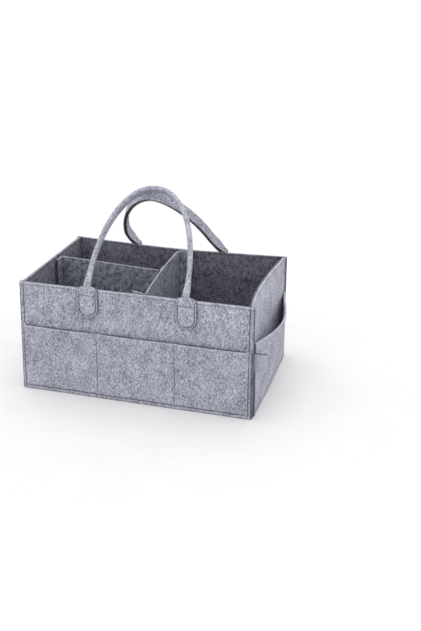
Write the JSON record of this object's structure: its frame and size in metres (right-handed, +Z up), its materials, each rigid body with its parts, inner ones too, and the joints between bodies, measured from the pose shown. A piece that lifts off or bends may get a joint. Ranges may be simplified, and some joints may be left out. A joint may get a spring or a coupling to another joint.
{
  "type": "diaper caddy",
  "caption": "Open-top rectangular felt caddy with lined walls, outside pockets, lift-out dividers and strap handles that fold out.",
  "frame": {"origin": "under the middle of the base, on the surface it stands on", "axes": "+X along the length to the right seen from the front, +Y from front to back, +Z up"},
  "size_m": [0.4226, 0.2529, 0.3326],
  "materials": {
    "grey_felt": "matte mottled felt",
    "dark_felt": "matte felt lining",
    "divider_felt": "matte felt",
    "core_fabric": "matte",
    "hook_tape": "fine hooks",
    "tag_ribbon": "woven ribbon"
  },
  "bodies": {
    "caddy": {"front_wall": "grey_felt", "back_wall": "grey_felt", "left_wall": "grey_felt", "right_wall": "grey_felt", "base_panel": "grey_felt", "front_lining": "dark_felt", "back_lining": "dark_felt", "left_lining": "dark_felt", "right_lining": "dark_felt", "base_lining": "dark_felt", "front_pocket": "grey_felt", "back_pocket": "grey_felt", "left_pocket": "grey_felt", "right_pocket": "grey_felt", "seam_tag": "tag_ribbon", "front_left_tab": "grey_felt", "front_right_tab": "grey_felt", "back_left_tab": "grey_felt", "back_right_tab": "grey_felt"},
    "front_handle": {"front_handle_cover": "grey_felt", "front_handle_core": "core_fabric"},
    "back_handle": {"back_handle_cover": "grey_felt", "back_handle_core": "core_fabric"},
    "cross_panel": {"cross_divider": "divider_felt", "cross_front_tape": "hook_tape", "cross_back_tape": "hook_tape"},
    "long_panel": {"long_divider": "divider_felt", "long_left_tape": "hook_tape", "long_right_tape": "hook_tape"}
  },
  "joints": [
    {"name": "front_handle_swing", "type": "hinge", "parent": "caddy", "child": "front_handle", "pos_m": [0.0055, -0.1243, 0.1905], "axis": [1, 0, 0], "range_deg": [0, 175]},
    {"name": "back_handle_swing", "type": "hinge", "parent": "caddy", "child": "back_handle", "pos_m": [0.0025, 0.1138, 0.1875], "axis": [-1, 0, 0], "range_deg": [0, 175]},
    {"name": "cross_divider_lift", "type": "slide", "parent": "caddy", "child": "cross_panel", "axis": [0, 0, 1], "range_m": [0, 0.11]},
    {"name": "long_divider_lift", "type": "slide", "parent": "caddy", "child": "long_panel", "axis": [0, 0, 1], "range_m": [0, 0.09]}
  ]
}
